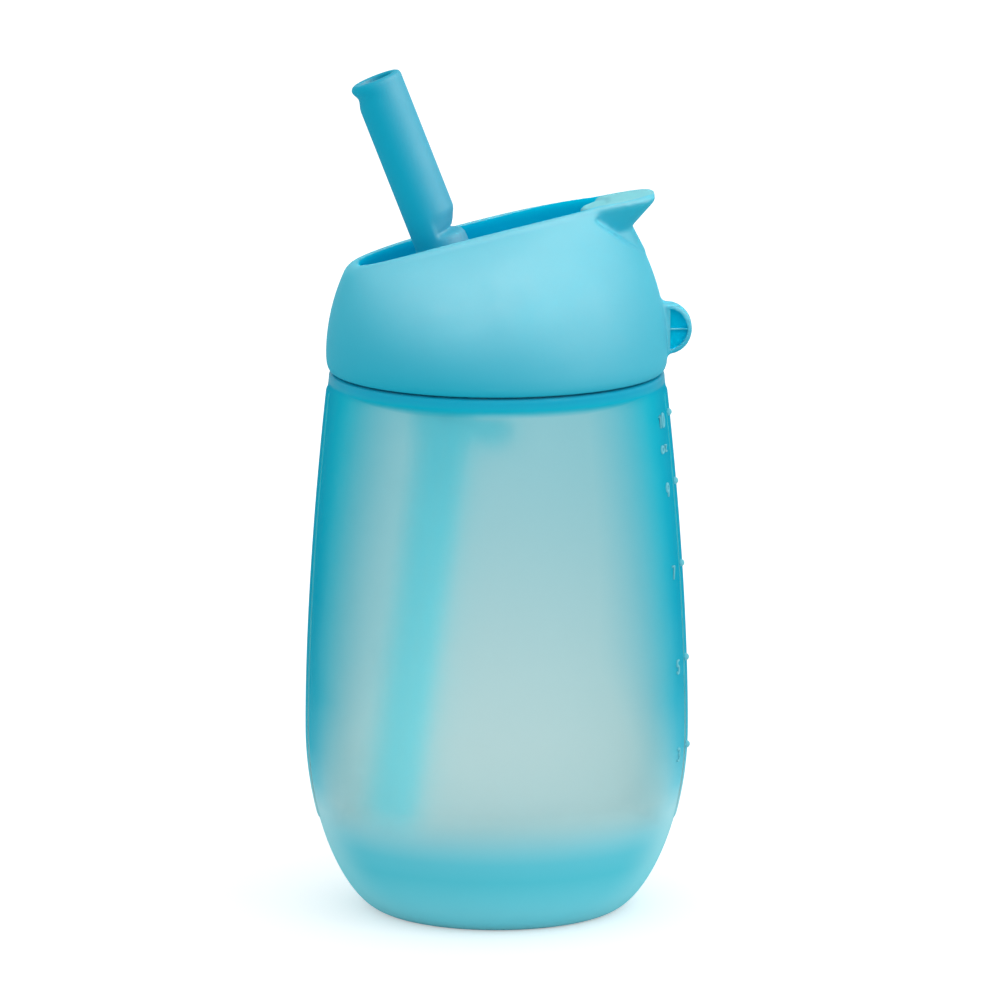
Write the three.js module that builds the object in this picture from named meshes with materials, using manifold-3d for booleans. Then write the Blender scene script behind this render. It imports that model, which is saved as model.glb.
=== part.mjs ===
// Spill-proof straw cup: a translucent bottle, a screw-on domed lid with a slanted trough, a soft
// straw spout that folds back over the trough, and a dip tube that opens for washing.
// Millimetres, +Z up, origin at the centre of the foot. The drinker's side is -X.
import * as THREE from 'three';
import { mergeVertices } from 'three/addons/utils/BufferGeometryUtils.js';
import Module from 'manifold-3d';

const wasm = await Module();
wasm.setup();

// ---- driving dimensions ---------------------------------------------------------------------
const AROUND = 48; // straight sides round the cup
const GAP = 0.3; // clearance between neighbouring pieces

// bottle
const FOOT_RADIUS = 22.5;
const BELLY_RADIUS = 35.5;
const BELLY_HEIGHT = 34;
const SHOULDER_RADIUS = 31.15;
const SHOULDER_HEIGHT = 100;
const HEEL_PULL = { out: 5.1, up: 0.9, reach: 19 }; // how the foot sweeps out and up into the belly
const SHOULDER_PULL = { out: 2.3, up: 20, reach: 20 }; // how the belly draws in to the shoulder
const WALL = 1.6;
const FLOOR = 3.6;
const NECK_RADIUS = 27;
const NECK_BORE = 25.2;
const NECK_BOTTOM = 101.4;
const NECK_TOP = 110.5;
const RING_RADIUS = 28.4;
const BAND_PROUD = 0.25; // raised bands down the front and back
const BAND_HALF_ANGLE = 10 * Math.PI / 180;
const BAND_BOTTOM = 17.5;
const BAND_TOP = 98;
const MARK_ANGLE = -18 * Math.PI / 180; // where the volume numerals stand, from +X
const MARK_SIZE = 2.4; // height of a numeral
const MARK_STROKE = 0.36;
const MARK_PROUD = 0.3;
const BEAD_RADIUS = 0.75;
const MARKS = [['3', 30.7], ['5', 47.3], ['7', 65.1], ['9', 80.6], ['10', 93.5], ['oz', 88.9]];

// screw thread, right-handed: ridges on the neck and in the skirt, half a pitch apart
const PITCH = 4;
const RIDGE_TURNS = 1.1;
const RIDGE_START = 104;
const RIDGE_ROOT_HALF = 0.8;
const RIDGE_CREST_HALF = 0.4;
const NECK_CREST = 28.2;
const SKIRT_CREST = 27.6;

// lid
const SKIRT_BORE = 28.9;
const RIM_HEIGHT = 102.1;
const DOME_HEIGHT = 104.8; // widest level of the lid
const DOME_RADIUS = 31.65;
const CEILING = 112.7; // underside that presses on the seal ring
const DECK_HEIGHT = 128.7; // the slanted deck on the axis
const DECK_SLOPE = 0.2475;
const DECK_SAG = 0.0012;
const FRONT_RISE = 25 * Math.PI / 180; // how far round its arc the dome goes, front and back
const SIDE_RISE = 70 * Math.PI / 180; // and at the sides, where it rolls over further
const RIM_ROUND = 1.3;
const DECK_OVAL = { front: -26.8, back: 22, half: 10.9, frontPower: 3, backPower: 2.6, taper: 0.1 };
const TONGUE_OVAL = { front: -4, back: 29.3, half: 9.7, frontPower: 2, backPower: 4.4, taper: 0.22 };
const WAIST_OVAL = { ...TONGUE_OVAL, back: 25, half: 7.6, backPower: 3 }; // where a finger lifts
const SKIRT_OVAL = { ...TONGUE_OVAL, back: 27.6, half: 10, backPower: 2.6 }; // where it meets the dome
const HOLLOW_OVAL = { ...DECK_OVAL, front: -24.4, back: 19, half: 8.8 };
const TROUGH_OVAL = { front: -25.1, back: 20.5, half: 8.9, frontPower: 3, backPower: 3, taper: 0.12 };
const PAD_OVAL = { front: 15.4, back: 29, half: 6.1, frontPower: 2, backPower: 2, taper: 0 };
const FLOOR_HEIGHT = 117.6; // the trough floor on the axis
const FLOOR_SLOPE = 0.12;
const TROUGH_WALL = 1.8;
const WAIST_DROP = 5.6;
const SKIRT_BOTTOM = 119;
const SKIRT_TOP = 126;
const SCOOP = { start: 18, height: 130.6, slope: -0.73 };
const LUG = { x: 31.4, z: 109.3, radius: 4.75, thick: 4.4, rim: 1.1, recess: 0.9 };

// straw spout and the soft block that holds it
const LEAN = 21.3 * Math.PI / 180; // towards the drinker
const SPOUT_RADIUS = 4.9;
const SPOUT_BORE = 3;
const SPOUT_FOOT = new THREE.Vector3(-10.4, 0, 125.7); // a point on the spout's axis
const SPOUT_LENGTH = 31.9; // from that point to the tip
const FOLD = 2.6; // the pinch line, measured up the axis from the same point
const STEM_X = -9.8;
const STEM_RADIUS = 4.4;
const STEM_BOTTOM = 94;
const FLANGE = { radius: 6.4, bottom: 111, top: 112.8 }; // grips the underside of the trough floor
const LEDGE_HEIGHT = 127.5;

// dip tube
const DIP_LEAN = 7.9 * Math.PI / 180;
const DIP_RADIUS = 5;
const DIP_BORE = 3.6;
const DIP_TOP = 91;
const DIP_BOTTOM = 7;
const SOCKET_RADIUS = 6.1;
const SOCKET_TOP = 99;
const TAB = { x: -0.5, z: 90.6, radius: 3.7, thick: 1.6 };

// vent valve in the trough floor
const VENT_X = 6;
const VENT_DISC = 3.6;
const VENT_STEM = 1.2;
const VENT_HOLES = { count: 3, radius: 0.5, ring: 2.4 };

// ---- solids -----------------------------------------------------------------------------------
function toSolid(geometry) {
  const plain = geometry.clone();
  plain.deleteAttribute('normal');
  plain.deleteAttribute('uv');
  const merged = mergeVertices(plain, 1e-4);
  const index = merged.index.array;
  const faces = [];
  for (let i = 0; i < index.length; i += 3) {
    const [a, b, c] = [index[i], index[i + 1], index[i + 2]];
    if (a !== b && b !== c && c !== a) faces.push(a, b, c);
  }
  return new wasm.Manifold(new wasm.Mesh({
    numProp: 3,
    vertProperties: merged.attributes.position.array,
    triVerts: new Uint32Array(faces),
  }));
}

function toGeometry(solid) {
  const { vertProperties, triVerts } = solid.getMesh();
  const geometry = new THREE.BufferGeometry();
  geometry.setAttribute('position', new THREE.BufferAttribute(vertProperties, 3));
  geometry.setIndex(new THREE.BufferAttribute(triVerts, 1));
  geometry.computeVertexNormals();
  return geometry;
}

function joinAll(solids) {
  return solids.reduce((whole, next) => whole.add(next));
}

// Skins a stack of rings (equal numbers of points) and closes both ends with a fan.
function loft(rings) {
  const count = rings[0].length;
  const centres = [rings[0], rings.at(-1)].map((ring) => ring
    .reduce((sum, point) => sum.add(point), new THREE.Vector3())
    .divideScalar(count));
  const points = [...rings.flat(), ...centres];
  const faces = [];
  for (let i = 0; i < count; i++) {
    const j = (i + 1) % count;
    for (let k = 0; k + 1 < rings.length; k++) {
      const low = k * count;
      const high = low + count;
      faces.push(low + i, low + j, high + j, low + i, high + j, high + i);
    }
    const top = (rings.length - 1) * count;
    faces.push(points.length - 2, j, i, points.length - 1, top + i, top + j);
  }
  const geometry = new THREE.BufferGeometry().setFromPoints(points);
  geometry.setIndex(faces);
  const outward = enclosedVolume(points, faces) > 0;
  if (!outward) geometry.setIndex(faces.reverse());
  return toSolid(geometry);
}

function enclosedVolume(points, faces) {
  let six = 0;
  for (let i = 0; i < faces.length; i += 3) {
    const [a, b, c] = [points[faces[i]], points[faces[i + 1]], points[faces[i + 2]]];
    six += a.dot(new THREE.Vector3().crossVectors(b, c));
  }
  return six;
}

// Turns [radius, height] points round Z. The profile starts and ends on the axis, or is a closed loop.
function turned(profile, sides) {
  const points = profile.map(([radius, height]) => new THREE.Vector2(radius, height));
  return toSolid(new THREE.LatheGeometry(points, sides).rotateX(Math.PI / 2));
}

function disc(radius, bottom, top, sides) {
  return turned([[0, bottom], [radius, bottom], [radius, top], [0, top]], sides);
}

function box(width, depth, height, x, y, z) {
  return toSolid(new THREE.BoxGeometry(width, depth, height).translate(x, y, z));
}

// Moves a solid made round the origin's Z axis so that its axis leans about Y and passes through a point.
function place(solid, point, lean = 0) {
  return solid.rotate([0, lean * 180 / Math.PI, 0]).translate([point.x, point.y, point.z]);
}

function circle(radius, height, sides = AROUND) {
  return Array.from({ length: sides }, (_, i) => {
    const angle = 2 * Math.PI * i / sides;
    return new THREE.Vector3(radius * Math.cos(angle), radius * Math.sin(angle), height);
  });
}

// A helical ridge of trapezoid section whose ends fade into the wall it stands on.
function helicalRidge(root, crest, startHeight, turns) {
  const steps = Math.round(AROUND * turns);
  const rings = [];
  for (let i = 0; i <= steps; i++) {
    const angle = 2 * Math.PI * turns * i / steps;
    const fade = Math.min(1, i / 4, (steps - i) / 4);
    const tip = THREE.MathUtils.lerp(root, crest, 0.3 + 0.7 * fade);
    const height = startHeight + PITCH * angle / (2 * Math.PI);
    const corner = (radius, rise) => new THREE.Vector3(
      radius * Math.cos(angle), radius * Math.sin(angle), height + rise,
    );
    rings.push([
      corner(root, -RIDGE_ROOT_HALF), corner(tip, -RIDGE_CREST_HALF),
      corner(tip, RIDGE_CREST_HALF), corner(root, RIDGE_ROOT_HALF),
    ]);
  }
  return loft(rings);
}

// ---- bottle -----------------------------------------------------------------------------------
// The side of the bottle, set in from its outer face, from the foot or the floor up to the shoulder.
function wallCurve(inset, bottom, top, divisions) {
  const foot = FOOT_RADIUS - inset / 3;
  const belly = BELLY_RADIUS - inset;
  const shoulder = SHOULDER_RADIUS - inset;
  const side = new THREE.Path().moveTo(foot, bottom);
  side.bezierCurveTo(
    foot + HEEL_PULL.out, bottom + HEEL_PULL.up, belly, BELLY_HEIGHT - HEEL_PULL.reach, belly, BELLY_HEIGHT,
  );
  side.bezierCurveTo(
    belly, BELLY_HEIGHT + SHOULDER_PULL.reach, shoulder + SHOULDER_PULL.out, top - SHOULDER_PULL.up,
    shoulder, top,
  );
  return side.getPoints(divisions);
}

function bottleOutside() {
  return wallCurve(0, 0, SHOULDER_HEIGHT, 6);
}

function bottleRadius(height) {
  const side = bottleOutside();
  const above = Math.max(1, side.findIndex((point) => point.y >= height));
  const [low, high] = [side[above - 1], side[above]];
  return THREE.MathUtils.mapLinear(height, low.y, high.y, low.x, high.x);
}

function bottleShell() {
  const outside = bottleOutside().map((point) => [point.x, point.y]);
  const inside = wallCurve(WALL, FLOOR, SHOULDER_HEIGHT - 3, 4).map((point) => [point.x, point.y]);
  return turned([
    [0, 0], ...outside, [SHOULDER_RADIUS - 0.5, NECK_BOTTOM - 0.5], [NECK_RADIUS, NECK_BOTTOM],
    [NECK_RADIUS, NECK_TOP - 0.4], [NECK_RADIUS - 0.4, NECK_TOP], [NECK_BORE, NECK_TOP],
    [NECK_BORE, NECK_BOTTOM], ...inside.reverse(), [0, FLOOR],
  ], AROUND);
}

// A raised band down the wall, centred on the given direction.
function band(direction) {
  const steps = 6;
  const across = 3;
  const rings = [];
  for (let i = 0; i <= steps; i++) {
    const height = THREE.MathUtils.lerp(BAND_BOTTOM, BAND_TOP, i / steps);
    const radius = bottleRadius(height);
    const edge = (distance, j) => {
      const angle = direction + BAND_HALF_ANGLE * (2 * j / across - 1);
      return new THREE.Vector3(distance * Math.cos(angle), distance * Math.sin(angle), height);
    };
    const outer = Array.from({ length: across + 1 }, (_, j) => edge(radius + BAND_PROUD, j));
    const inner = Array.from({ length: across + 1 }, (_, j) => edge(radius - 1, across - j));
    rings.push([...outer, ...inner]);
  }
  return loft(rings);
}

// Strokes of each sign in a cell one wide and two high: [from x, from z, to x, to z].
const STROKES = {
  0: [[0, 0, 0, 2], [1, 0, 1, 2], [0, 0, 1, 0], [0, 2, 1, 2]],
  1: [[0.6, 0, 0.6, 2]],
  3: [[0, 2, 1, 2], [0, 1, 1, 1], [0, 0, 1, 0], [1, 0, 1, 2]],
  5: [[0, 2, 1, 2], [0, 1, 0, 2], [0, 1, 1, 1], [1, 0, 1, 1], [0, 0, 1, 0]],
  7: [[0, 2, 1, 2], [0.4, 0, 1, 2]],
  9: [[0, 1, 0, 2], [0, 2, 1, 2], [0, 1, 1, 1], [1, 0, 1, 2]],
  o: [[0, 0, 1, 0], [0, 1, 1, 1], [0, 0, 0, 1], [1, 0, 1, 1]],
  z: [[0, 1, 1, 1], [0, 0, 1, 0], [0, 0, 1, 1]],
};

// One sign standing proud of the wall, its strokes being bars sunk into it.
function sign(name, height, shift) {
  const unit = MARK_SIZE / 2;
  const radius = bottleRadius(height);
  const depth = 4 * MARK_PROUD;
  const bars = STROKES[name].map(([x0, z0, x1, z1]) => {
    const length = Math.hypot(x1 - x0, z1 - z0) * unit + MARK_STROKE * 0.9;
    const bar = new THREE.BoxGeometry(depth, length, MARK_STROKE);
    bar.rotateX(Math.atan2(z1 - z0, x1 - x0));
    bar.translate(radius + MARK_PROUD - depth / 2, shift + (x0 + x1) / 2 * unit, (z0 + z1 - 2) / 2 * unit);
    return toSolid(bar);
  });
  return joinAll(bars).rotate([0, 0, MARK_ANGLE * 180 / Math.PI]).translate([0, 0, height]);
}

function volumeMarks() {
  const solids = [];
  for (const [text, height] of MARKS) {
    [...text].forEach((name, i) => {
      const shift = (i - text.length / 2) * MARK_SIZE * 0.75 + 0.3;
      solids.push(sign(name, height, shift));
    });
    if (text !== 'oz') solids.push(bead(height + 0.8));
  }
  return joinAll(solids);
}

// The bead at the end of a mark, on the edge of the back band.
function bead(height) {
  const angle = -BAND_HALF_ANGLE * 0.85;
  const radius = bottleRadius(height) + BAND_PROUD;
  const ball = new THREE.SphereGeometry(BEAD_RADIUS, 8, 6);
  return toSolid(ball).translate([radius * Math.cos(angle), radius * Math.sin(angle), height]);
}

function bottle() {
  const ridge = helicalRidge(NECK_RADIUS - 0.4, NECK_CREST, RIDGE_START, RIDGE_TURNS);
  return joinAll([bottleShell(), ridge, band(0), band(Math.PI), volumeMarks()]);
}

function sealRing() {
  const bottom = NECK_TOP + GAP;
  const top = CEILING - GAP;
  const soft = 0.3;
  return turned([
    [NECK_BORE, bottom], [RING_RADIUS, bottom], [RING_RADIUS, top - soft], [RING_RADIUS - soft, top],
    [NECK_BORE + soft, top], [NECK_BORE, top - soft], [NECK_BORE, bottom],
  ], AROUND);
}

// ---- lid --------------------------------------------------------------------------------------
function deckHeight(x) {
  return DECK_HEIGHT + DECK_SLOPE * x - DECK_SAG * x * x;
}

function troughFloor(x) {
  return FLOOR_HEIGHT + FLOOR_SLOPE * x;
}

// A point on a long rounded outline: blunter with a higher power, narrower to the back with taper.
function ovalPoint(oval, angle) {
  const middle = (oval.front + oval.back) / 2;
  const reach = (oval.back - oval.front) / 2;
  const [c, s] = [Math.cos(angle), Math.sin(angle)];
  const power = c < 0 ? oval.frontPower : oval.backPower;
  const x = middle + reach * Math.sign(c) * Math.abs(c) ** (2 / power);
  const narrow = 1 - oval.taper * THREE.MathUtils.smoothstep(x, 0, 20);
  return new THREE.Vector2(x, oval.half * narrow * Math.sign(s) * Math.abs(s) ** (2 / power));
}

function ovalRing(oval, heightAt, grow = 0) {
  const wide = { ...oval, front: oval.front - grow, back: oval.back + grow, half: oval.half + grow };
  return Array.from({ length: AROUND }, (_, i) => {
    const point = ovalPoint(wide, 2 * Math.PI * (i + 0.5) / AROUND);
    return new THREE.Vector3(point.x, point.y, heightAt(point.x));
  });
}

// Rings of a dome that starts upright on a circle and ends on an oval below the deck.
function domeRings(radius, bottom, oval, drop, steps) {
  const rim = ovalRing(oval, (x) => deckHeight(x) - drop, 0);
  return Array.from({ length: steps + 1 }, (_, k) => rim.map((end, i) => {
    const angle = 2 * Math.PI * (i + 0.5) / AROUND;
    const rise = THREE.MathUtils.lerp(FRONT_RISE, SIDE_RISE, Math.sin(angle) ** 2);
    const start = new THREE.Vector3(radius * Math.cos(angle), radius * Math.sin(angle), bottom);
    const turn = rise * k / steps;
    const out = (Math.cos(turn) - Math.cos(rise)) / (1 - Math.cos(rise));
    const up = Math.sin(turn) / Math.sin(rise);
    return new THREE.Vector3(
      THREE.MathUtils.lerp(end.x, start.x, out),
      THREE.MathUtils.lerp(end.y, start.y, out),
      THREE.MathUtils.lerp(start.z, end.z, up),
    );
  }));
}

function domeOutside() {
  const turnedRing = (radius, height) => circle(radius, height).map((point, i) => {
    const angle = 2 * Math.PI * (i + 0.5) / AROUND;
    return point.set(radius * Math.cos(angle), radius * Math.sin(angle), height);
  });
  const outer = { ...DECK_OVAL, front: DECK_OVAL.front - RIM_ROUND, half: DECK_OVAL.half + RIM_ROUND };
  return loft([
    turnedRing(DOME_RADIUS - 0.65, RIM_HEIGHT),
    turnedRing(DOME_RADIUS - 0.25, RIM_HEIGHT + 0.7),
    ...domeRings(DOME_RADIUS, DOME_HEIGHT, outer, RIM_ROUND * 0.6, 6),
    ovalRing(DECK_OVAL, (x) => deckHeight(x) - 0.15, 0.45),
    ovalRing(DECK_OVAL, deckHeight, -0.3),
  ]);
}

// Waisted column under the tongue: as wide as the deck on top, pinched, then merging with the dome.
function tongue() {
  const scoopHeight = (x) => SCOOP.height + SCOOP.slope * (x - SCOOP.start);
  return loft([
    ovalRing(SKIRT_OVAL, () => SKIRT_BOTTOM, -3),
    ovalRing(SKIRT_OVAL, (x) => Math.min(scoopHeight(x), SKIRT_TOP)),
    ovalRing(WAIST_OVAL, (x) => deckHeight(x) - WAIST_DROP),
    ovalRing(TONGUE_OVAL, (x) => deckHeight(x) - 1),
    ovalRing(TONGUE_OVAL, (x) => deckHeight(x) - 0.3, -0.15),
    ovalRing(TONGUE_OVAL, deckHeight, -0.8),
  ]);
}

// Half-space above the finger scoop, behind its start.
function scoopCut() {
  const lean = Math.atan(SCOOP.slope);
  const size = 60;
  return box(size, size, size, size / 2, 0, size / 2)
    .rotate([0, -lean * 180 / Math.PI, 0])
    .translate([SCOOP.start, 0, SCOOP.height]);
}

function domeHollow() {
  return disc(SKIRT_BORE, RIM_HEIGHT - 2, CEILING, AROUND)
    .add(loft(domeRings(NECK_BORE + 0.4, CEILING - 1, HOLLOW_OVAL, 3, 4)));
}

// The trough as a solid; grown by a wall it is the box that the trough is moulded in.
function troughSolid(grow) {
  const floor = (x) => troughFloor(x) - grow;
  return loft([
    ovalRing(TROUGH_OVAL, floor, grow - 1.6),
    ovalRing(TROUGH_OVAL, (x) => floor(x) + 0.6, grow - 0.4),
    ovalRing(TROUGH_OVAL, (x) => floor(x) + 2, grow),
    ovalRing(TROUGH_OVAL, (x) => deckHeight(x) - 0.9, grow),
    ovalRing(TROUGH_OVAL, (x) => deckHeight(x) - 0.15, grow + 0.35),
    ovalRing(TROUGH_OVAL, (x) => deckHeight(x) + 3, grow + 1.6),
  ]);
}

// Rest pad for the folded spout: a tab that reaches over the back end of the trough.
function pad() {
  return loft([
    ovalRing(PAD_OVAL, (x) => deckHeight(x) - 3, -0.6),
    ovalRing(PAD_OVAL, (x) => deckHeight(x) - 2.6),
    ovalRing(PAD_OVAL, (x) => deckHeight(x) - 0.9),
    ovalRing(PAD_OVAL, (x) => deckHeight(x) - 0.5, -0.5),
  ]);
}

// A half-round fin at the back for a strap, with a raised rim and a rib across its hollow faces.
function lug() {
  const fin = (radius, from, to) => disc(radius, from, to, 24)
    .rotate([90, 0, 0])
    .translate([LUG.x, 0, LUG.z]);
  const half = LUG.thick / 2;
  const size = 20;
  const outside = box(size, size, size, LUG.x + size / 2, 0, LUG.z);
  const recess = fin(LUG.radius - LUG.rim, half - LUG.recess, half + 1)
    .add(fin(LUG.radius - LUG.rim, -half - 1, LUG.recess - half))
    .intersect(outside);
  const rib = box(2 * (LUG.radius - 0.6), LUG.thick - 1.2, 0.5, LUG.x, 0, LUG.z);
  const beyondRoot = box(size, size, size, LUG.x - 2 + size / 2, 0, LUG.z);
  return fin(LUG.radius, -half, half).subtract(recess).add(rib).intersect(beyondRoot);
}

function ventHoles() {
  const holes = [disc(VENT_STEM + GAP, -3, 3, 16)];
  const { count, radius, ring } = VENT_HOLES;
  for (let i = 0; i < count; i++) {
    const angle = 2 * Math.PI * (i + 0.5) / count;
    holes.push(disc(radius, -3, 3, 8).translate([ring * Math.cos(angle), ring * Math.sin(angle), 0]));
  }
  const middle = new THREE.Vector3(VENT_X, 0, troughFloor(VENT_X) - TROUGH_WALL / 2);
  return place(joinAll(holes), middle, -Math.atan(FLOOR_SLOPE));
}

function lid() {
  const dome = domeOutside().subtract(scoopCut());
  const outside = joinAll([dome, tongue(), lug()]);
  const hollow = domeHollow().subtract(troughSolid(TROUGH_WALL));
  const trough = troughSolid(0).subtract(pad());
  const stemHole = disc(STEM_RADIUS + GAP, FLANGE.bottom, SPOUT_FOOT.z - 4, 32).translate([STEM_X, 0, 0]);
  const ridge = helicalRidge(SKIRT_BORE + 0.5, SKIRT_CREST, RIDGE_START - PITCH * 0.4, RIDGE_TURNS);
  const shell = outside.subtract(hollow).subtract(trough).subtract(stemHole).subtract(ventHoles());
  return shell.add(ridge);
}

// ---- soft pieces ------------------------------------------------------------------------------
function ventValve() {
  const under = -TROUGH_WALL / 2 - GAP;
  const over = TROUGH_WALL / 2 + GAP;
  const valve = turned([
    [0, under - 1.4], [1.6, under - 1.2], [VENT_DISC, under - 0.6], [VENT_DISC, under], [VENT_STEM, under],
    [VENT_STEM, over], [VENT_STEM + 0.7, over + 0.1], [VENT_STEM - 0.2, over + 1.6], [0, over + 1.6],
  ], 18);
  const middle = new THREE.Vector3(VENT_X, 0, troughFloor(VENT_X) - TROUGH_WALL / 2);
  return place(valve, middle, -Math.atan(FLOOR_SLOPE));
}

// The spout above its pinch line: a tube with a rolled lip and a shallow groove under it.
function strawSpout() {
  const low = FOLD + GAP / 2;
  const top = SPOUT_LENGTH;
  const tube = turned([
    [SPOUT_BORE, low], [SPOUT_RADIUS - 0.6, low], [SPOUT_RADIUS, low + 1.2], [SPOUT_RADIUS, top - 6],
    [SPOUT_RADIUS - 0.2, top - 3.4], [SPOUT_RADIUS - 0.15, top - 2], [SPOUT_RADIUS + 0.1, top - 1],
    [SPOUT_RADIUS - 0.1, top - 0.3], [SPOUT_RADIUS - 0.7, top], [SPOUT_BORE + 0.5, top],
    [SPOUT_BORE, top - 0.5], [SPOUT_BORE, low],
  ], 30);
  return place(tube, SPOUT_FOOT, -LEAN);
}

// The block in the trough, its stem through the trough floor and the stub that the spout grows from.
function strawBase() {
  const egg = (grow, height, tilt) => Array.from({ length: 28 }, (_, i) => {
    const angle = 2 * Math.PI * i / 28;
    const x = STEM_X - 0.6 + (5.5 + grow) * Math.cos(angle);
    return new THREE.Vector3(x, (5.2 + grow) * Math.sin(angle), height + tilt * (x - STEM_X));
  });
  const block = loft([
    egg(0.8, troughFloor(STEM_X) + GAP, FLOOR_SLOPE), egg(0.5, 122, 0.1),
    egg(0, LEDGE_HEIGHT - 1, 0.2), egg(-0.5, LEDGE_HEIGHT, 0.2),
  ]);
  const stemTop = troughFloor(STEM_X) + 3;
  const stem = turned([
    [0, STEM_BOTTOM + GAP], [STEM_RADIUS, STEM_BOTTOM + GAP], [STEM_RADIUS, FLANGE.bottom - 1],
    [FLANGE.radius, FLANGE.bottom], [FLANGE.radius, FLANGE.top], [STEM_RADIUS, FLANGE.top + 0.6],
    [STEM_RADIUS, stemTop], [0, stemTop],
  ], 24).translate([STEM_X, 0, 0]);
  const stub = place(disc(SPOUT_RADIUS, -6, FOLD - GAP / 2, 30), SPOUT_FOOT, -LEAN);
  const pinch = box(8, 20, 3.2, 4 + 2.6, 0, FOLD); // the fold groove, cut in from the back
  const bore = place(disc(SPOUT_BORE, -3.4, 10, 24), SPOUT_FOOT, -LEAN)
    .add(disc(SPOUT_BORE, STEM_BOTTOM - 1, SPOUT_FOOT.z - 1.6, 24).translate([STEM_X, 0, 0]));
  return joinAll([block, stem, stub])
    .subtract(place(pinch, SPOUT_FOOT, -LEAN))
    .subtract(bore);
}

// ---- dip tube ---------------------------------------------------------------------------------
const DIP_HEAD = new THREE.Vector3(STEM_X + 0.2, 0, DIP_TOP);

function dipTube() {
  const length = (DIP_TOP - DIP_BOTTOM) / Math.cos(DIP_LEAN) + 4;
  const leaning = (solid) => place(solid, DIP_HEAD, DIP_LEAN);
  const below = box(90, 40, 20, 0, 0, DIP_BOTTOM - 10);
  const tube = leaning(disc(DIP_RADIUS, -length, 1, 28)).subtract(below);
  const socket = turned([
    [0, DIP_TOP - 4], [DIP_RADIUS, DIP_TOP - 4], [SOCKET_RADIUS, DIP_TOP - 1], [SOCKET_RADIUS, SOCKET_TOP],
    [0, SOCKET_TOP],
  ], 28).translate([STEM_X, 0, 0]);
  const seat = disc(STEM_RADIUS + GAP, STEM_BOTTOM, SOCKET_TOP + 1, 32).translate([STEM_X, 0, 0]);
  const bore = leaning(disc(DIP_BORE, -length - 5, STEM_BOTTOM - DIP_TOP + 0.6, 24));
  return tube.add(socket).subtract(seat).subtract(bore);
}

// Everything on one side of the plane in which the dip tube opens.
function openingSide(side) {
  const size = 120;
  return place(box(size, size, 2 * size, side * (size + GAP) / 2, 0, 0), DIP_HEAD, DIP_LEAN);
}

function dipChannel() {
  return dipTube().intersect(openingSide(-1));
}

// The half that comes off for washing, with a round finger tab beside its head.
function dipCover() {
  const tab = disc(TAB.radius, -TAB.thick / 2, TAB.thick / 2, 28)
    .subtract(disc(1, TAB.thick / 2 - 0.4, TAB.thick, 12))
    .rotate([90, 0, 0])
    .translate([TAB.x, 0, TAB.z]);
  const start = STEM_X + DIP_RADIUS - 0.4;
  const link = box(TAB.x - start, TAB.thick, 4, (TAB.x + start) / 2, 0, TAB.z + 0.6);
  return dipTube().intersect(openingSide(1)).add(link).add(tab);
}

// ---- assembly ---------------------------------------------------------------------------------
function material(color, roughness, extra = {}) {
  return new THREE.MeshStandardMaterial({ color, roughness, metalness: 0, ...extra });
}

const cup = new THREE.Group();
cup.name = 'straw_cup';

function addPiece(name, solid, look) {
  const mesh = new THREE.Mesh(toGeometry(solid), look);
  mesh.name = name;
  cup.add(mesh);
}

const clearBlue = material(0x7cc8d8, 0.4, { transparent: true, opacity: 0.6 });
const lidBlue = material(0x6cc6da, 0.55);
const softBlue = material(0x38aac6, 0.6);
const dipBlue = material(0x55b8d0, 0.45);
addPiece('bottle', bottle(), clearBlue);
addPiece('seal_ring', sealRing(), softBlue);
addPiece('lid', lid(), lidBlue);
addPiece('vent_valve', ventValve(), softBlue);
addPiece('straw_base', strawBase(), softBlue);
addPiece('straw_spout', strawSpout(), softBlue);
addPiece('dip_channel', dipChannel(), dipBlue);
addPiece('dip_cover', dipCover(), dipBlue);

export default cup;
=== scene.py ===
import math

import bmesh
import bpy
import numpy as np
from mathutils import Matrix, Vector


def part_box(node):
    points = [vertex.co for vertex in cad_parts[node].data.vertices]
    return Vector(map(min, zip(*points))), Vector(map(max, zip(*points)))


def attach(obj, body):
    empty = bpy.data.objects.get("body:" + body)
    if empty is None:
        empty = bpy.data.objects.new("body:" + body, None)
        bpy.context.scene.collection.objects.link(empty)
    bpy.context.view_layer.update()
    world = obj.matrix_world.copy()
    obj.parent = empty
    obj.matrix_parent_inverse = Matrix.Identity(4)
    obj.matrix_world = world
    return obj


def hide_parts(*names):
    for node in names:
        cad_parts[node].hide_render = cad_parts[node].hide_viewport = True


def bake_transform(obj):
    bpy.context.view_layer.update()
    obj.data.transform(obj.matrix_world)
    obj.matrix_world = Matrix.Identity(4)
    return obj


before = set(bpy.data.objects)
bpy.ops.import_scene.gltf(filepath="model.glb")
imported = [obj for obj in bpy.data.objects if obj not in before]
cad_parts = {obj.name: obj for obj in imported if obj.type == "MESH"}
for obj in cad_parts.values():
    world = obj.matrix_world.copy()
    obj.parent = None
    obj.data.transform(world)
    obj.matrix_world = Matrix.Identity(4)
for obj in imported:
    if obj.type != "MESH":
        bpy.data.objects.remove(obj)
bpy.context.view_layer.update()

MM = 0.001


def cad_box(node):
    """The two corners of a CAD piece's box, in millimetres."""
    return [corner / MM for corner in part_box(node)]


bottle_high = cad_box("bottle")[1]
lid_low = cad_box("lid")[0]
ring_low, ring_high = cad_box("seal_ring")

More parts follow.
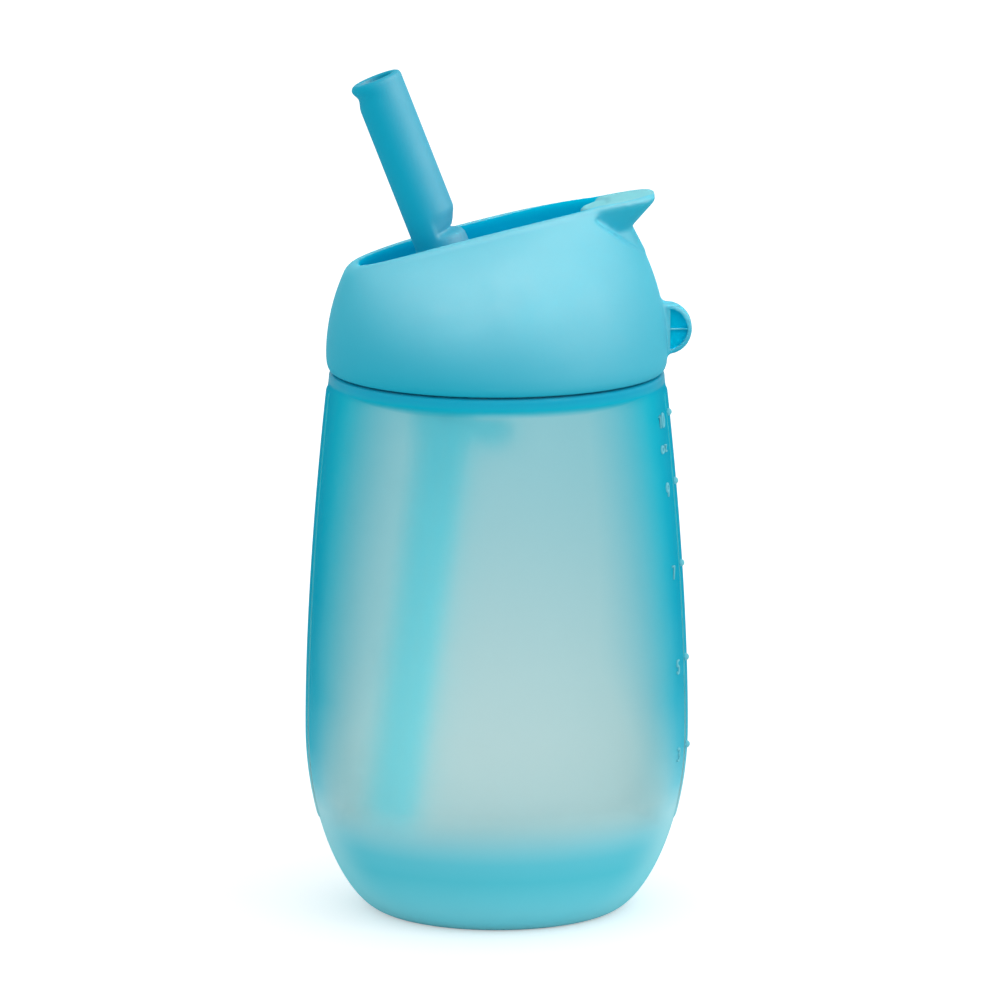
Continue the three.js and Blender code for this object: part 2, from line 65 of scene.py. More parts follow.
# ---- sizes, in millimetres and radians. The cup stands on z = 0 and its spout leans to -X ----
BELLY_RADIUS = bottle_high.y
BELLY_HEIGHT = 34.0
FOOT_RADIUS = 22.5
SHOULDER_RADIUS = 31.15
SHOULDER_HEIGHT = 100.0
SHOULDER_TOP = 101.3
HEEL_OUT, HEEL_UP, HEEL_REACH = 5.1, 0.9, 19.0
SHOULDER_OUT, SHOULDER_UP, SHOULDER_REACH = 2.3, 20.0, 20.0
WALL = 1.6
FLOOR = 3.6
NECK_RADIUS = 27.0
NECK_BORE = 25.2
NECK_TOP = bottle_high.z
BAND_PROUD = 0.25
BAND_HALF_ANGLE = math.radians(10.0)
BAND_BOTTOM = 17.5
BAND_TOP = 98.0
BAND_EDGE = 0.4
BAND_EDGE_ANGLE = 0.008

MARK_ANGLE = math.radians(-18.0)
MARK_SIZE = 2.4
MARKS = (("3", 30.7), ("5", 47.3), ("7", 65.1), ("9", 80.6), ("10", 93.5), ("oz", 88.9))
STROKE_RADIUS = 0.24
STROKE_LIFT = 0.08
BEAD_RADIUS = 0.72
BEAD_ANGLE = -BAND_HALF_ANGLE * 0.85

PITCH = 4.0
RIDGE_TURNS = 1.1
RIDGE_START = 104.0
NECK_CREST = 28.2
SKIRT_CREST = 27.6

SKIRT_BORE = 28.9
RIM_HEIGHT = lid_low.z
DOME_HEIGHT = RIM_HEIGHT + 2.7
DOME_RADIUS = 31.65
CEILING = 112.7
DECK_HEIGHT = 128.7
DECK_SLOPE = 0.2475
DECK_SAG = 0.0012
FRONT_RISE = math.radians(25.0)
SIDE_RISE = math.radians(70.0)
RIM_ROUND = 1.3
FLOOR_HEIGHT = 117.6
FLOOR_SLOPE = 0.12
TROUGH_WALL = 1.8
SCOOP_START, SCOOP_HEIGHT, SCOOP_SLOPE, SCOOP_CEILING = 18.0, 130.6, -0.73, 126.0
LUG_X, LUG_Z, LUG_RADIUS, LUG_THICK = 31.4, 109.3, 4.75, 4.4
LUG_RIM = 0.85
LUG_HOLLOW_FACE = 1.5
RIB_THICK = 0.28
LID_GRID = 0.42
LID_RELAX = 5

# Outlines of the lid seen from above: front, back, half width, bluntness of each end, taper to the back.
DECK_OVAL = (-26.8, 22.0, 10.9, 3.0, 2.6, 0.10)
TONGUE_OVAL = (-4.0, 29.3, 9.7, 2.0, 4.4, 0.22)
WAIST_OVAL = (-4.0, 25.0, 8.4, 2.0, 3.0, 0.22)
SKIRT_OVAL = (-4.0, 27.6, 8.5, 2.0, 2.6, 0.22)
TROUGH_OVAL = (-25.1, 20.5, 8.9, 3.0, 3.0, 0.12)
PAD_OVAL = (15.4, 29.0, 6.1, 2.0, 2.0, 0.0)
INSIDE_OVAL = (-24.4, 19.0, 8.8, 3.0, 2.6, 0.1)

LEAN = math.radians(21.3)
SPOUT_AXIS = np.array([-math.sin(LEAN), 0.0, math.cos(LEAN)])
SPOUT_SIDE = np.array([math.cos(LEAN), 0.0, math.sin(LEAN)])
SPOUT_FOOT = np.array([-10.6, 0.0, 125.7])
SPOUT_RADIUS = 4.78
SPOUT_BORE = 3.15
SPOUT_LENGTH = 32.4
STEM_X = -9.8
STEM_RADIUS = 4.4
FLANGE_RADIUS = 6.4
BLOCK_RADIUS = 5.9

DIP_LEAN = math.radians(7.9)
DIP_RADIUS = 5.0
DIP_BORE = 3.6
DIP_TOP = 91.0
DIP_BOTTOM = 7.0
DIP_SEAM = 0.15
SOCKET_RADIUS = 6.1
SOCKET_BORE = 4.7
SOCKET_TOP = 99.0
TAB_X, TAB_Z, TAB_RADIUS, TAB_THICK = -0.5, 90.6, 3.7, 1.6

VENT_X = 6.0
VENT_DISC = 3.6
VENT_STEM = 1.2
VENT_HOLE = 0.5
VENT_HOLE_RING = 2.4

AXIS_Y = np.array([0.0, 1.0, 0.0])


# ---- mesh building ----
def make_object(name, points, faces):
    """An object from points in millimetres, with its faces turned outwards."""
    mesh = bpy.data.meshes.new(name)
    mesh.from_pydata([tuple(float(c) * MM for c in point) for point in points], [], faces)
    builder = bmesh.new()
    builder.from_mesh(mesh)
    bmesh.ops.recalc_face_normals(builder, faces=builder.faces)
    builder.to_mesh(mesh)
    builder.free()
    mesh.shade_smooth()
    obj = bpy.data.objects.new(name, mesh)
    bpy.context.scene.collection.objects.link(obj)
    return obj


def skin(name, rings, joined=False):
    """Skins a stack of rings. The two ends are fanned shut, unless the stack joins up on itself."""
    rings = np.asarray(rings, float)
    count, around = rings.shape[:2]
    points = list(rings.reshape(-1, 3))
    faces = []
    for k in range(count if joined else count - 1):
        low, high = k * around, (k + 1) % count * around
        for i in range(around):
            j = (i + 1) % around
            faces.append((low + i, low + j, high + j, high + i))
    if not joined:
        for start, ring in ((0, rings[0]), ((count - 1) * around, rings[-1])):
            points.append(ring.mean(0))
            faces += [(start + i, start + (i + 1) % around, len(points) - 1) for i in range(around)]
    return make_object(name, points, faces)


def turned(name, profile, around=96, joined=False):
    """A solid of revolution about Z, from pairs of radius and height."""
    angles = np.linspace(0, 2 * math.pi, around, endpoint=False)
    unit = np.stack([np.cos(angles), np.sin(angles), 0 * angles], 1)
    return skin(name, [radius * unit + (0, 0, height) for radius, height in profile], joined)


def bezier(p0, p1, p2, p3, steps):
    t = np.linspace(0, 1, steps)[:, None]
    p0, p1, p2, p3 = (np.array(p, float) for p in (p0, p1, p2, p3))
    return (1 - t) ** 3 * p0 + 3 * t * (1 - t) ** 2 * p1 + 3 * t * t * (1 - t) * p2 + t ** 3 * p3


def rounded(corners, radius, steps=5):
    """A closed outline with its corners rounded off."""
    corners = [np.array(c, float) for c in corners]
    out = []
    for i, corner in enumerate(corners):
        to_before = corners[i - 1] - corner
        to_after = corners[(i + 1) % len(corners)] - corner
        cut = min(radius, np.linalg.norm(to_before) / 2.01, np.linalg.norm(to_after) / 2.01)
        a = corner + to_before / np.linalg.norm(to_before) * cut
        b = corner + to_after / np.linalg.norm(to_after) * cut
        for t in np.linspace(0, 1, steps):
            out.append((1 - t) ** 2 * a + 2 * t * (1 - t) * corner + t * t * b)
    return out


def smoothstep(value, low, high):
    t = np.clip((np.asarray(value, float) - low) / (high - low), 0, 1)
    return t * t * (3 - 2 * t)


def take_result(obj):
    """Keeps what the object's modifiers make of it as its own mesh."""
    graph = bpy.context.evaluated_depsgraph_get()
    mesh = bpy.data.meshes.new_from_object(obj.evaluated_get(graph))
    obj.modifiers.clear()
    obj.data = mesh
    return obj


def combine(target, tools, operation):
    """Adds tools to the target, cuts them out of it or keeps what they share, and uses the tools up."""
    for tool in tools:
        modifier = target.modifiers.new("combine", "BOOLEAN")
        modifier.operation = operation
        modifier.solver = "EXACT"
        modifier.object = tool
        take_result(target)
        bpy.data.objects.remove(tool)
    return target


def soften(obj, grid, passes):
    """Rebuilds the surface on an even grid and relaxes it, so that every edge gets a moulded roundness."""
    remesh = obj.modifiers.new("even", "REMESH")
    remesh.mode = "VOXEL"
    remesh.voxel_size = grid * MM
    relax = obj.modifiers.new("relax", "SMOOTH")
    relax.factor = 0.5
    relax.iterations = passes
    take_result(obj)
    obj.data.shade_smooth()
    return obj


def block(name, low, high):
    points = [(x, y, z) for x in (low[0], high[0]) for y in (low[1], high[1]) for z in (low[2], high[2])]
    faces = [(0, 1, 3, 2), (4, 6, 7, 5), (0, 4, 5, 1), (2, 3, 7, 6), (0, 2, 6, 4), (1, 5, 7, 3)]
    return make_object(name, points, faces)


def helical_ridge(root, crest, start):
    """A screw ridge whose ends fade into the wall that it stands on."""
    steps = int(150 * RIDGE_TURNS)
    fading_steps = 10
    rings = []
    for i in range(steps + 1):
        angle = 2 * math.pi * RIDGE_TURNS * i / steps
        fade = float(smoothstep(min(i, steps - i), 0, fading_steps))
        tip = root + (crest - root) * (0.3 + 0.7 * fade)
        height = start + PITCH * angle / (2 * math.pi)
        section = rounded([(root, -0.8), (tip, -0.4), (tip, 0.4), (root, 0.8)], 0.25, 3)
        rings.append([(r * math.cos(angle), r * math.sin(angle), height + z) for r, z in section])
    return skin("ridge", rings)


# ---- bottle ----
def wall_curve(inset, bottom, top):
    """Radius and height up the bottle's side, from foot to shoulder, set in from its outer face."""
    foot, belly, shoulder = FOOT_RADIUS - inset / 3, BELLY_RADIUS - inset, SHOULDER_RADIUS - inset
    heel = bezier((foot, bottom), (foot + HEEL_OUT, bottom + HEEL_UP), (belly, BELLY_HEIGHT - HEEL_REACH),
                  (belly, BELLY_HEIGHT), 60)
    body = bezier((belly, BELLY_HEIGHT), (belly, BELLY_HEIGHT + SHOULDER_REACH),
                  (shoulder + SHOULDER_OUT, top - SHOULDER_UP), (shoulder, top), 50)
    return np.concatenate([heel, body[1:]])


OUTER_WALL = wall_curve(0, 0, SHOULDER_HEIGHT)
INNER_WALL = wall_curve(WALL, FLOOR, SHOULDER_HEIGHT - 3)


def wall_radius(height):
    return np.interp(height, OUTER_WALL[:, 1], OUTER_WALL[:, 0])


def band_lift(angle, height):
    """How far the raised bands at the front and back stand out of the wall."""
    off_axis = np.minimum(np.abs(angle), math.pi - np.abs(angle))
    across = 1 - smoothstep(off_axis, BAND_HALF_ANGLE - BAND_EDGE_ANGLE, BAND_HALF_ANGLE + BAND_EDGE_ANGLE)
    along = smoothstep(height, BAND_BOTTOM - BAND_EDGE, BAND_BOTTOM + BAND_EDGE)
    along = along * (1 - smoothstep(height, BAND_TOP - BAND_EDGE, BAND_TOP + BAND_EDGE))
    return BAND_PROUD * across * along


def bottle_angles():
    """Directions round the bottle, close together where a band's edge has to be drawn."""
    even = np.linspace(-math.pi, math.pi, 168, endpoint=False)
    edges = [side + turn for side in (0, math.pi) for turn in (-BAND_HALF_ANGLE, BAND_HALF_ANGLE)]
    close = [edge + step for edge in edges for step in np.linspace(-BAND_EDGE_ANGLE, BAND_EDGE_ANGLE, 5)]
    wrapped = (np.array(close) + math.pi) % (2 * math.pi) - math.pi
    return np.unique(np.round(np.concatenate([even, wrapped]), 5))


def outer_profile():
    """Radius and height from the middle of the base up to the neck."""
    ends = [edge + step for edge in (BAND_BOTTOM, BAND_TOP) for step in np.linspace(-BAND_EDGE, BAND_EDGE, 6)]
    heights = np.unique(np.concatenate([OUTER_WALL[:, 1], ends]))
    base = [(radius, 0.0) for radius in np.linspace(2, FOOT_RADIUS - 1, 6)]
    wall = [(float(wall_radius(height)), height) for height in heights]
    shoulder = bezier((SHOULDER_RADIUS, SHOULDER_HEIGHT), (SHOULDER_RADIUS, SHOULDER_HEIGHT + 1),
                      (SHOULDER_RADIUS - 0.2, SHOULDER_TOP - 0.1), (SHOULDER_RADIUS - 1.2, SHOULDER_TOP), 12)
    return [*base, *wall, *shoulder[1:], (NECK_RADIUS, SHOULDER_TOP), (NECK_RADIUS, SHOULDER_TOP + 1.1)]


def mouth_profile():
    """The rounded lip of the neck, from its outer corner to its inner one."""
    steps = 4
    corners = [(NECK_RADIUS, NECK_TOP - 2), (NECK_RADIUS, NECK_TOP), (NECK_BORE, NECK_TOP),
               (NECK_BORE, NECK_TOP - 2)]
    return rounded(corners, 0.5, steps)[steps:3 * steps]


def inner_profile():
    """Radius and height down the inside of the neck and wall, and in along the floor."""
    wall = INNER_WALL[::-1]
    neck = bezier((NECK_BORE, 104), (NECK_BORE, 99), (wall[0, 0] - 0.4, 100), tuple(wall[0]), 10)
    floor = [(radius, FLOOR) for radius in np.linspace(FOOT_RADIUS - 1.5, 2, 6)]
    return [*neck[:-1], *wall, *floor]


def make_bottle():
    angles = bottle_angles()

    def ring(radius, height):
        return np.stack([radius * np.cos(angles), radius * np.sin(angles), 0 * angles + height], 1)

    outside = [ring(radius + band_lift(angles, height), height) for radius, height in outer_profile()]
    inside = [ring(radius, height) for radius, height in mouth_profile() + inner_profile()]
    shell = skin("bottle_shell", outside + inside)
    return combine(shell, [helical_ridge(NECK_RADIUS - 0.4, NECK_CREST, RIDGE_START)], "UNION")


def arc(cx, cz, rx, rz, start, end, steps=14):
    """Points along part of an oval, from one angle in degrees to another."""
    return [(cx + rx * math.cos(a), cz + rz * math.sin(a))
            for a in np.radians(np.linspace(start, end, steps))]


# Strokes of each sign, in a cell one wide and two high.
STROKES = {
    "0": [arc(0.5, 1, 0.5, 1, 90, 450, 24)],
    "1": [[(0.25, 1.6), (0.6, 2), (0.6, 0)]],
    "3": [arc(0.45, 1.5, 0.5, 0.5, 150, -90) + arc(0.45, 0.5, 0.55, 0.5, 90, -150)[1:]],
    "5": [[(0.95, 2), (0.15, 2), (0.08, 1.15)] + arc(0.45, 0.62, 0.52, 0.62, 115, -150)[1:]],
    "7": [[(0, 2), (1, 2), (0.35, 0)]],
    "9": [arc(0.5, 1.4, 0.48, 0.6, 0, 360, 20), [(0.98, 1.4), (0.92, 0.8), (0.6, 0)]],
    "o": [arc(0.5, 0.5, 0.5, 0.5, 90, 450, 18)],
    "z": [[(0.05, 1), (0.95, 1), (0.05, 0), (0.95, 0)]],
}


def on_wall(across, height, lift):
    """A point on the bottle's wall, a distance across from the middle of the marks."""
    radius = float(wall_radius(height))
    angle = MARK_ANGLE + across / radius
    return np.array([(radius + lift) * math.cos(angle), (radius + lift) * math.sin(angle), height])


def make_stroke(path):
    """A round bead of plastic along a path laid on the wall."""
    points = np.array([on_wall(across, height, STROKE_LIFT) for across, height in path])
    rings = []
    for i, point in enumerate(points):
        ahead = points[min(i + 1, len(points) - 1)] - points[max(i - 1, 0)]
        ahead = ahead / np.linalg.norm(ahead)
        outward = np.array([point[0], point[1], 0]) / math.hypot(point[0], point[1])
        beside = np.cross(ahead, outward)
        turn = np.linspace(0, 2 * math.pi, 8, endpoint=False)[:, None]
        rings.append(point + STROKE_RADIUS * (np.cos(turn) * outward + np.sin(turn) * beside))
    return skin("stroke", rings)


def make_marks():
    """The raised volume marks: generic numbers, the unit, and a dot on the band's edge for each number."""
    unit = MARK_SIZE / 2
    parts = []
    for text, height in MARKS:
        for i, name in enumerate(text):
            shift = (i - len(text) / 2) * MARK_SIZE * 0.75 + 0.3
            for stroke in STROKES[name]:
                path = [(shift + u * unit, height + (v - 1) * unit) for u, v in stroke]
                parts.append(make_stroke(path))
        if text != "oz":
            parts.append(make_bead(height + 0.8))
    return join_parts("volume_marks", parts)


def make_bead(height):
    """The raised dot beside a number."""
    radius = float(wall_radius(height)) + BAND_PROUD
    bead = turned("bead", arc(0, 0, BEAD_RADIUS, BEAD_RADIUS, -80, 80, 9), 16)
    centre = Vector((radius * math.cos(BEAD_ANGLE), radius * math.sin(BEAD_ANGLE), height)) * MM
    for vertex in bead.data.vertices:
        vertex.co += centre
    return bead


def join_parts(name, parts):
    """Makes one object of several closed shapes that keep clear of one another."""
    builder = bmesh.new()
    for part in parts:
        builder.from_mesh(part.data)
        bpy.data.objects.remove(part)
    mesh = bpy.data.meshes.new(name)
    builder.to_mesh(mesh)
    builder.free()
    mesh.shade_smooth()
    obj = bpy.data.objects.new(name, mesh)
    bpy.context.scene.collection.objects.link(obj)
    return obj


def make_seal_ring():
    outline = rounded([(NECK_BORE, ring_low.z), (ring_high.y, ring_low.z), (ring_high.y, ring_high.z),
                       (NECK_BORE, ring_high.z)], 0.5)
    return turned("seal_ring_soft", outline, 120, joined=True)


# ---- lid ----
def deck_height(x):
    return DECK_HEIGHT + DECK_SLOPE * x - DECK_SAG * x * x


def below_deck(drop):
    """The height, at any x, of a surface that follows the deck a distance below it."""
    return lambda x: deck_height(x) - drop


def trough_floor(x):
    return FLOOR_HEIGHT + FLOOR_SLOPE * x


LID_AROUND = 240
LID_ANGLES = 2 * math.pi * (np.arange(LID_AROUND) + 0.5) / LID_AROUND


def oval_ring(oval, height_at, grow=0.0):
    """A ring on one of the lid's ovals, at heights that depend on x."""
    front, back, half, front_power, back_power, taper = oval
    middle, reach = (front + back) / 2, (back - front) / 2 + grow
    c, s = np.cos(LID_ANGLES), np.sin(LID_ANGLES)
    power = np.where(c < 0, front_power, back_power)
    x = middle + reach * np.sign(c) * np.abs(c) ** (2 / power)
    y = (half + grow) * (1 - taper * smoothstep(x, 0, 20)) * np.sign(s) * np.abs(s) ** (2 / power)
    return np.stack([x, y, height_at(x) + 0 * x], 1)


def dome_rings(radius, bottom, oval, drop, steps):
    """Rings of a dome that starts upright on a circle and ends on an oval below the deck."""
    end = oval_ring(oval, below_deck(drop))
    rise = FRONT_RISE + (SIDE_RISE - FRONT_RISE) * np.sin(LID_ANGLES) ** 2
    start = radius * np.stack([np.cos(LID_ANGLES), np.sin(LID_ANGLES)], 1)
    rings = []
    for k in range(steps + 1):
        turn = rise * k / steps
        out = ((np.cos(turn) - np.cos(rise)) / (1 - np.cos(rise)))[:, None]
        flat = end[:, :2] + (start - end[:, :2]) * out
        height = bottom + (end[:, 2] - bottom) * np.sin(turn) / np.sin(rise)
        rings.append(np.column_stack([flat, height]))
    return rings


def circle_ring(radius, height):
    return np.stack([radius * np.cos(LID_ANGLES), radius * np.sin(LID_ANGLES), 0 * LID_ANGLES + height], 1)


def make_dome():
    edge = (DECK_OVAL[0] - RIM_ROUND, DECK_OVAL[1], DECK_OVAL[2] + RIM_ROUND, *DECK_OVAL[3:])
    return skin("dome", [
        circle_ring(DOME_RADIUS - 0.65, RIM_HEIGHT),
        circle_ring(DOME_RADIUS - 0.45, RIM_HEIGHT + 0.25),
        circle_ring(DOME_RADIUS - 0.12, RIM_HEIGHT + 1.2),
        *dome_rings(DOME_RADIUS, DOME_HEIGHT, edge, RIM_ROUND * 0.6, 36),
        oval_ring(DECK_OVAL, below_deck(0.15), 0.45),
        oval_ring(DECK_OVAL, below_deck(0), -0.3),
    ])


def scoop_height(x):
    """The slope that the finger scoop is cut to under the tongue."""
    return np.minimum(SCOOP_HEIGHT + SCOOP_SLOPE * (x - SCOOP_START), SCOOP_CEILING)


def make_tongue():
    """The lip that overhangs the back of the deck, and the waist under it."""
    return skin("tongue", [
        oval_ring(SKIRT_OVAL, lambda x: SCOOP_CEILING - 7, -3),
        oval_ring(SKIRT_OVAL, scoop_height),
        oval_ring(WAIST_OVAL, below_deck(5.6)),
        oval_ring(TONGUE_OVAL, below_deck(1.5), -0.25),
        oval_ring(TONGUE_OVAL, below_deck(0.9)),
        oval_ring(TONGUE_OVAL, below_deck(0.4), -0.2),
        oval_ring(TONGUE_OVAL, below_deck(0.1), -0.7),
        oval_ring(TONGUE_OVAL, below_deck(0), -1.4),
    ])


def make_scoop():
    """A block that cuts the back of the dome away along the scoop's slope."""
    cut = block("scoop", (0, -30, 0), (60, 30, 60))
    cut.rotation_euler = (0, -math.atan(SCOOP_SLOPE), 0)
    cut.location = Vector((SCOOP_START, 0, SCOOP_HEIGHT)) * MM
    bpy.context.view_layer.update()
    return cut


def make_hollow():
    """The space inside the lid, which stops short of the trough's own wall."""
    skirt = turned("skirt", [(SKIRT_BORE, RIM_HEIGHT - 2), (SKIRT_BORE, CEILING)], LID_AROUND)
    dome = skin("inner_dome", dome_rings(NECK_BORE + 0.4, CEILING - 1, INSIDE_OVAL, 3, 16))
    combine(skirt, [dome], "UNION")
    return combine(skirt, [make_trough(TROUGH_WALL)], "DIFFERENCE")


def make_trough(grow):
    """The trough as a solid, swollen by a wall's thickness where one is given."""
    return skin("trough", [
        oval_ring(TROUGH_OVAL, lambda x: trough_floor(x) - grow, grow - 1.6),
        oval_ring(TROUGH_OVAL, lambda x: trough_floor(x) - grow + 0.6, grow - 0.4),
        oval_ring(TROUGH_OVAL, lambda x: trough_floor(x) - grow + 2, grow),
        oval_ring(TROUGH_OVAL, below_deck(0.9), grow),
        oval_ring(TROUGH_OVAL, below_deck(0.15), grow + 0.35),
        oval_ring(TROUGH_OVAL, below_deck(-3), grow + 1.6),
    ])


def make_pad():
    """The rest pad at the back of the trough, a little below the deck."""
    return skin("pad", [
        oval_ring(PAD_OVAL, below_deck(3), -0.6),
        oval_ring(PAD_OVAL, below_deck(2.6)),
        oval_ring(PAD_OVAL, below_deck(0.9)),
        oval_ring(PAD_OVAL, below_deck(0.5), -0.5),
    ])


def fin(radius, from_y, to_y):
    """A disc facing Y, centred on the lug."""
    turn = np.linspace(0, 2 * math.pi, 72, endpoint=False)
    rim = np.stack([LUG_X + radius * np.cos(turn), 0 * turn, LUG_Z + radius * np.sin(turn)], 1)
    return skin("fin", [rim + (0, from_y, 0), rim + (0, to_y, 0)])


def behind(x):
    """A block that takes in all of the lug behind a plane."""
    clear = LUG_RADIUS + 4.25
    return block("keep", (x, -clear, LUG_Z - clear), (LUG_X + clear, clear, LUG_Z + clear))


def make_lug():
    """The half-round strap lug, a fin standing on the back of the dome."""
    return combine(fin(LUG_RADIUS, -LUG_THICK / 2, LUG_THICK / 2), [behind(LUG_X - 2)], "INTERSECT")


def lug_hollows():
    """The half-round hollows in the lug's two faces."""
    hollows = []
    for side in (-1, 1):
        face = sorted((side * LUG_HOLLOW_FACE, side * (LUG_THICK / 2 + 1)))
        hollow = fin(LUG_RADIUS - LUG_RIM, *face)
        hollows.append(combine(hollow, [behind(LUG_X + 0.7)], "INTERSECT"))
    return hollows


def make_lug_rib():
    """The thin rib across both hollow faces of the lug."""
    deep, half = LUG_THICK / 2 - 0.2, RIB_THICK / 2
    return block("rib", (LUG_X - 1, -deep, LUG_Z - half), (LUG_X + LUG_RADIUS - 0.5, deep, LUG_Z + half))


def drilled(radius, x, y, low, high):
    """An upright drill through the trough's floor."""
    hole = turned("drill", [(radius, low), (radius, high)], 40)
    hole.location = Vector((x, y, 0)) * MM
    bpy.context.view_layer.update()
    return hole


def floor_holes():
    """The holes for the straw's stem and the valve's stem, and three for air under the valve's disc."""
    holes = [drilled(STEM_RADIUS + 0.3, STEM_X, 0, 108, 122), drilled(VENT_STEM + 0.3, VENT_X, 0, 112, 124)]
    for i in range(3):
        angle = 2 * math.pi * (i + 0.5) / 3
        x, y = VENT_X + VENT_HOLE_RING * math.cos(angle), VENT_HOLE_RING * math.sin(angle)
        holes.append(drilled(VENT_HOLE, x, y, 112, 124))
    return holes


def make_lid():
    lid = make_dome()
    combine(lid, [make_scoop()], "DIFFERENCE")
    combine(lid, [make_tongue(), make_lug()], "UNION")
    trough = combine(make_trough(0), [make_pad()], "DIFFERENCE")
    combine(lid, [make_hollow(), trough, *floor_holes()], "DIFFERENCE")
    combine(lid, [helical_ridge(SKIRT_BORE + 0.5, SKIRT_CREST, RIDGE_START - PITCH * 0.4)], "UNION")
    lid.name = "lid_moulding"
    combine(soften(lid, LID_GRID, LID_RELAX), lug_hollows(), "DIFFERENCE")
    return combine(lid, [make_lug_rib()], "UNION")


def make_valve():
    """The umbrella valve: a soft disc under the trough's floor, and a stem with a knob above it."""
    under, over = -TROUGH_WALL / 2 - 0.3, TROUGH_WALL / 2 + 0.3
    disc = [(0.4, under - 1.4), (1.6, under - 1.2), (VENT_DISC - 0.2, under - 0.6),
            (VENT_DISC, under - 0.3), (VENT_DISC - 0.2, under)]
    stem = [(VENT_STEM, under), (VENT_STEM, over)]
    knob = [(VENT_STEM + 0.7, over + 0.1), (VENT_STEM + 0.5, over + 0.8), (VENT_STEM - 0.2, over + 1.6),
            (0.3, over + 1.7)]
    valve = turned("vent_valve_soft", disc + stem + knob, 48)
    valve.rotation_euler = (0, -math.atan(FLOOR_SLOPE), 0)
    valve.location = Vector((VENT_X, 0, trough_floor(VENT_X) - TROUGH_WALL / 2)) * MM
    bpy.context.view_layer.update()
    return valve


# ---- soft straw, one moulding from its stem to its lip ----
STRAW_AROUND = 72

# Heights of the rings up the stem and block, close together where the outline turns.
STEM_LEVELS = (94.3, 94.5, 95, 100, 105, 109, 110, 110.7, 111, 111.4, 112.4, 112.8, 113.2, 113.4, 114, 115,
               115.6)

# Height and outer radius, from the stem's end past the flange and the block to the foot of the spout.
STEM_OUTLINE = ((94.3, 3.6), (94.5, 4.1), (95, STEM_RADIUS), (110.7, STEM_RADIUS), (111, FLANGE_RADIUS - 0.2),
                (111.4, FLANGE_RADIUS), (112.4, FLANGE_RADIUS), (112.8, FLANGE_RADIUS - 0.2),
                (113.4, STEM_RADIUS), (116.2, STEM_RADIUS), (117.4, BLOCK_RADIUS), (119, BLOCK_RADIUS),
                (122, 5.4), (125.7, SPOUT_RADIUS))

# Distance up the spout's axis and depth of the fold groove in its back. Below it the block flares out.
FOLD_GROOVE = ((-2.41, -0.25), (-2.4, -0.2), (0.0, -0.2), (0.6, 0.1), (1.2, 1.0), (1.5, 1.8), (1.8, 1.9),
               (2.1, 1.5), (3.0, 0.95), (3.8, 0.6), (4.5, 0.25), (5.3, 0.0))

# Distance down from the top, cut all round, and cut on the drinker's side, where the lip overhangs a groove.
LIP = ((5, 0, 0), (4.4, 0, 0.06), (3.7, 0, 0.24), (3.1, 0, 0.4), (2.6, 0, 0.44), (2.1, 0, 0.28), (1.6, 0, 0),
       (1.2, 0, -0.16), (0.8, 0, -0.2), (0.45, 0.08, -0.14), (0.18, 0.25, -0.05), (0, 0.6, 0))

# Distance down from the top, and how much wider the bore is there.
BORE_MOUTH = ((0, 0.35), (0.15, 0.12), (0.4, 0))


def read_off(table, place):
    """The level that rows of place and level give at a place, in straight lines between rows."""
    places, levels = zip(*table)
    return np.interp(place, places, levels)


def straw_section(centre, side, radius, back_depth=0.0, front_depth=0.0):
    """A ring round the straw, cut in by one depth at the back and by another on the drinker's side."""
    turn = np.linspace(0, 2 * math.pi, STRAW_AROUND, endpoint=False)
    back = np.clip(np.cos(turn), 0, 1) ** 0.55
    front = np.clip(0.3 - np.cos(turn), 0, 1.3) / 1.3
    reach = (radius - back_depth * back - front_depth * front)[:, None]
    return centre + reach * (np.cos(turn)[:, None] * side + np.sin(turn)[:, None] * AXIS_Y)


def stem_path():
    """Centres and side directions from the bottom of the stem up to the spout's foot, where it leans."""
    foot = (SPOUT_FOOT[0], SPOUT_FOOT[2])
    curve = bezier((STEM_X, 116), (STEM_X, 119.5), (foot[0] + 1.0, foot[1] - 2.7), foot, 26)
    line = np.array([(STEM_X, z) for z in STEM_LEVELS] + [tuple(point) for point in curve[:-1]])
    lean = LEAN * smoothstep(line[:, 1], 118, foot[1])
    centres = np.stack([line[:, 0], 0 * line[:, 0], line[:, 1]], 1)
    sides = np.stack([np.cos(lean), 0 * lean, np.sin(lean)], 1)
    return list(zip(centres, sides))


def spout_ring(along, radius, back_depth=0.0, front_depth=0.0):
    return straw_section(SPOUT_FOOT + along * SPOUT_AXIS, SPOUT_SIDE, radius, back_depth, front_depth)


def stem_ring(centre, side):
    """An outer ring of the stem, or of the block, which flares out to meet the fold groove."""
    along = float((centre - SPOUT_FOOT) @ SPOUT_AXIS)
    depth = 0 if centre[2] < 117 else read_off(FOLD_GROOVE, along)
    return straw_section(centre, side, read_off(STEM_OUTLINE, centre[2]), depth)


def make_straw():
    path = stem_path()
    top = SPOUT_LENGTH
    levels = [*np.arange(0, 6.1, 0.3), *np.arange(6.6, top - 5.2, 0.6)]
    outer = [stem_ring(centre, side) for centre, side in path]
    outer += [spout_ring(along, SPOUT_RADIUS, read_off(FOLD_GROOVE, along)) for along in levels]
    outer += [spout_ring(top - down, SPOUT_RADIUS - cut, 0, front) for down, cut, front in LIP]
    inner = [spout_ring(top - down, SPOUT_BORE + wider) for down, wider in BORE_MOUTH]
    inner += [spout_ring(along, SPOUT_BORE, 0.4 * read_off(FOLD_GROOVE, along)) for along in levels[::-1]]
    inner += [straw_section(centre, side, SPOUT_BORE) for centre, side in path[::-1]]
    return skin("straw_soft", outer + inner, joined=True)


